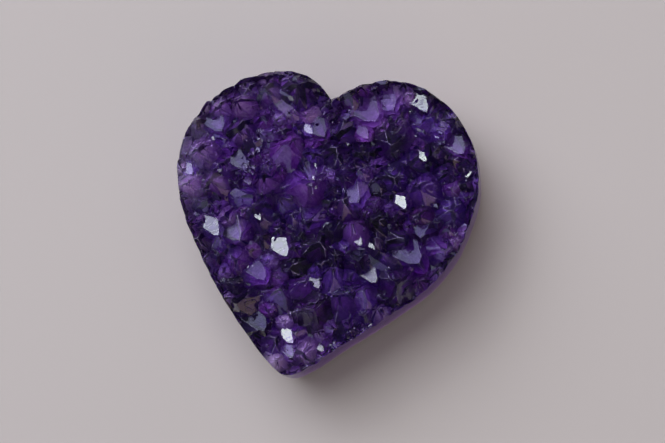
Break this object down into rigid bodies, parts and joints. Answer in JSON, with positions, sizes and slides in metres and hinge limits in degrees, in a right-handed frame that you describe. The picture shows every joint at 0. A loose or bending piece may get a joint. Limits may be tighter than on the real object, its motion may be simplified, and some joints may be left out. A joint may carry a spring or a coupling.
{
  "type": "amethyst druse heart",
  "caption": "Heart-shaped slice of amethyst geode lying on its flat back: a bed of violet quartz points on top, ground and polished sides.",
  "frame": {"origin": "on the flat back, under the middle of the heart's outline", "axes": "+Z out of the crystal face, +Y towards the two lobes and the notch, -Y towards the tip, +X to the right when the crystals face the viewer"},
  "size_m": [0.0508, 0.0512, 0.0173],
  "materials": {
    "amethyst": "deep violet see-through quartz: natural bright crystal faces on top, polished sides, pale milky root and grey-green agate skin at the back"
  },
  "bodies": {
    "root": {"amethyst_heart": "amethyst"}
  },
  "joints": []
}
